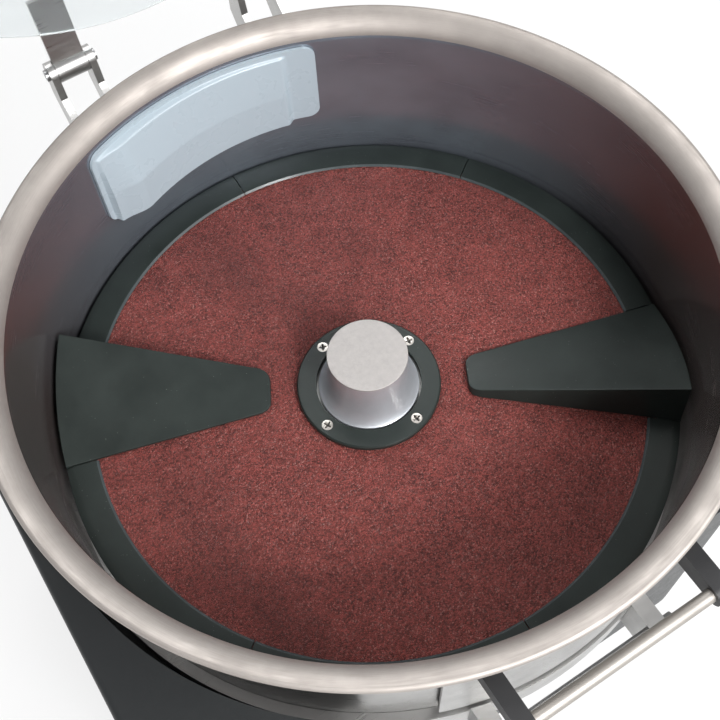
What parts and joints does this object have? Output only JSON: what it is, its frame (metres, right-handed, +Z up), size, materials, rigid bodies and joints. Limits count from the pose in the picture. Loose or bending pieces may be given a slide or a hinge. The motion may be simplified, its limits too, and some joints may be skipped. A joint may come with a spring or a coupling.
{
  "type": "potato peeling machine",
  "caption": "Potato peeling machine: polished drum, spinning abrasive disc with ramps, drop-down discharge door, hinged clear lid, belt drive in the base and a control housing at the side.",
  "frame": {"origin": "on the drum's axis at the floor, the centre of the four stand bolts", "axes": "+Z up along the drum's axis, -Y to the front with the discharge door, +Y to the back with the water inlet and the waste outlet, -X to the control housing"},
  "size_m": [0.483, 0.6193, 0.9455],
  "materials": {
    "polished_steel": "polished stainless sheet",
    "satin_steel": "satin stainless",
    "machine_steel": "turned steel",
    "cast_aluminium": "cast, lightly blasted",
    "black_iron": "cast, machined",
    "abrasive": "coarse abrasive grit",
    "disc_metal": "satin dark coat",
    "housing_paint": "fine textured coat",
    "inner_sheet": "grey coat",
    "motor_paint": "machine grey",
    "panel_metal": "satin anodised",
    "black_rubber": "soft rubber",
    "black_plastic": "fine grain",
    "deflector_plastic": "milky, slightly clear",
    "clear_plastic": "clear sheet",
    "start_green": "moulded",
    "stop_red": "moulded"
  },
  "bodies": {
    "machine": {"base_cover": "inner_sheet", "base_housing": "housing_paint", "bearing_bolts": "machine_steel", "bearing_housing": "black_iron", "bearing_lower": "machine_steel", "bearing_upper": "machine_steel", "button_bezels": "satin_steel", "cable_gland": "black_plastic", "control_housing": "housing_paint", "control_panel": "panel_metal", "door_hinge_brackets": "cast_aluminium", "door_hinge_pin": "satin_steel", "drive_belt": "black_rubber", "drum_pan": "cast_aluminium", "drum_screws": "satin_steel", "drum_shell": "polished_steel", "inlet_nut": "satin_steel", "lid_brackets": "satin_steel", "lid_hinge_pins": "satin_steel", "motor_body": "motor_paint", "motor_bracket": "inner_sheet", "motor_fan_cover": "motor_paint", "process_timer": "black_plastic", "rubber_feet": "black_rubber", "shaft_seal": "black_rubber", "switch_blocks": "black_plastic", "waste_outlet": "satin_steel", "water_deflector": "deflector_plastic", "water_inlet": "satin_steel"},
    "disc": {"drive_shaft": "machine_steel", "dog_pin": "machine_steel", "driven_pulley": "black_iron", "pulley_bolt": "machine_steel", "disc_plate": "cast_aluminium", "abrasive_sheet": "abrasive", "clamp_segment_1": "disc_metal", "clamp_segment_2": "disc_metal", "clamp_segment_3": "disc_metal", "clamp_segment_4": "disc_metal", "clamp_segment_5": "disc_metal", "clamp_segment_6": "disc_metal", "ramp_1": "disc_metal", "ramp_2": "disc_metal", "hub_flange": "disc_metal", "hub_screws": "satin_steel", "hub_knob": "cast_aluminium", "hub_cap": "cast_aluminium", "knob_screw": "satin_steel"},
    "motor_rotor": {"motor_shaft": "machine_steel", "motor_pulley": "black_iron"},
    "door": {"door_panel": "polished_steel", "door_gasket": "black_rubber", "door_handle_arms": "housing_paint", "door_handle_bar": "satin_steel"},
    "lid": {"lid_cover": "clear_plastic", "lid_arms": "satin_steel", "lid_handle": "satin_steel"},
    "start_button": {"start_button": "start_green"},
    "stop_button": {"stop_button": "stop_red"},
    "timer_knob": {"timer_knob": "black_plastic"}
  },
  "joints": [
    {"name": "disc_spin", "type": "hinge", "parent": "machine", "child": "disc", "pos_m": [0, 0, 0.33], "axis": [0, 0, 1], "continuous": true},
    {"name": "motor_spin", "type": "hinge", "parent": "machine", "child": "motor_rotor", "pos_m": [-0.15, 0, 0.179], "axis": [0, 0, 1], "continuous": true},
    {"name": "door_hinge", "type": "hinge", "parent": "machine", "child": "door", "pos_m": [0, -0.237, 0.317], "axis": [1, 0, 0], "range_deg": [0, 95]},
    {"name": "lid_hinge", "type": "hinge", "parent": "machine", "child": "lid", "pos_m": [0, 0.254, 0.461], "axis": [1, 0, 0], "range_deg": [0, 100]},
    {"name": "start_press", "type": "slide", "parent": "machine", "child": "start_button", "axis": [0, 1, 0], "range_m": [0, 0.004], "stiffness_N_per_m": 300, "springref_m": -0.003},
    {"name": "stop_press", "type": "slide", "parent": "machine", "child": "stop_button", "axis": [0, 1, 0], "range_m": [0, 0.004], "stiffness_N_per_m": 300, "springref_m": -0.003},
    {"name": "timer_turn", "type": "hinge", "parent": "machine", "child": "timer_knob", "pos_m": [-0.192, -0.2, 0.335], "axis": [0, -1, 0], "range_deg": [0, 270]}
  ],
  "couplings": [
    {"joint": "motor_spin", "follows": "disc_spin", "ratio": 3.2609}
  ]
}
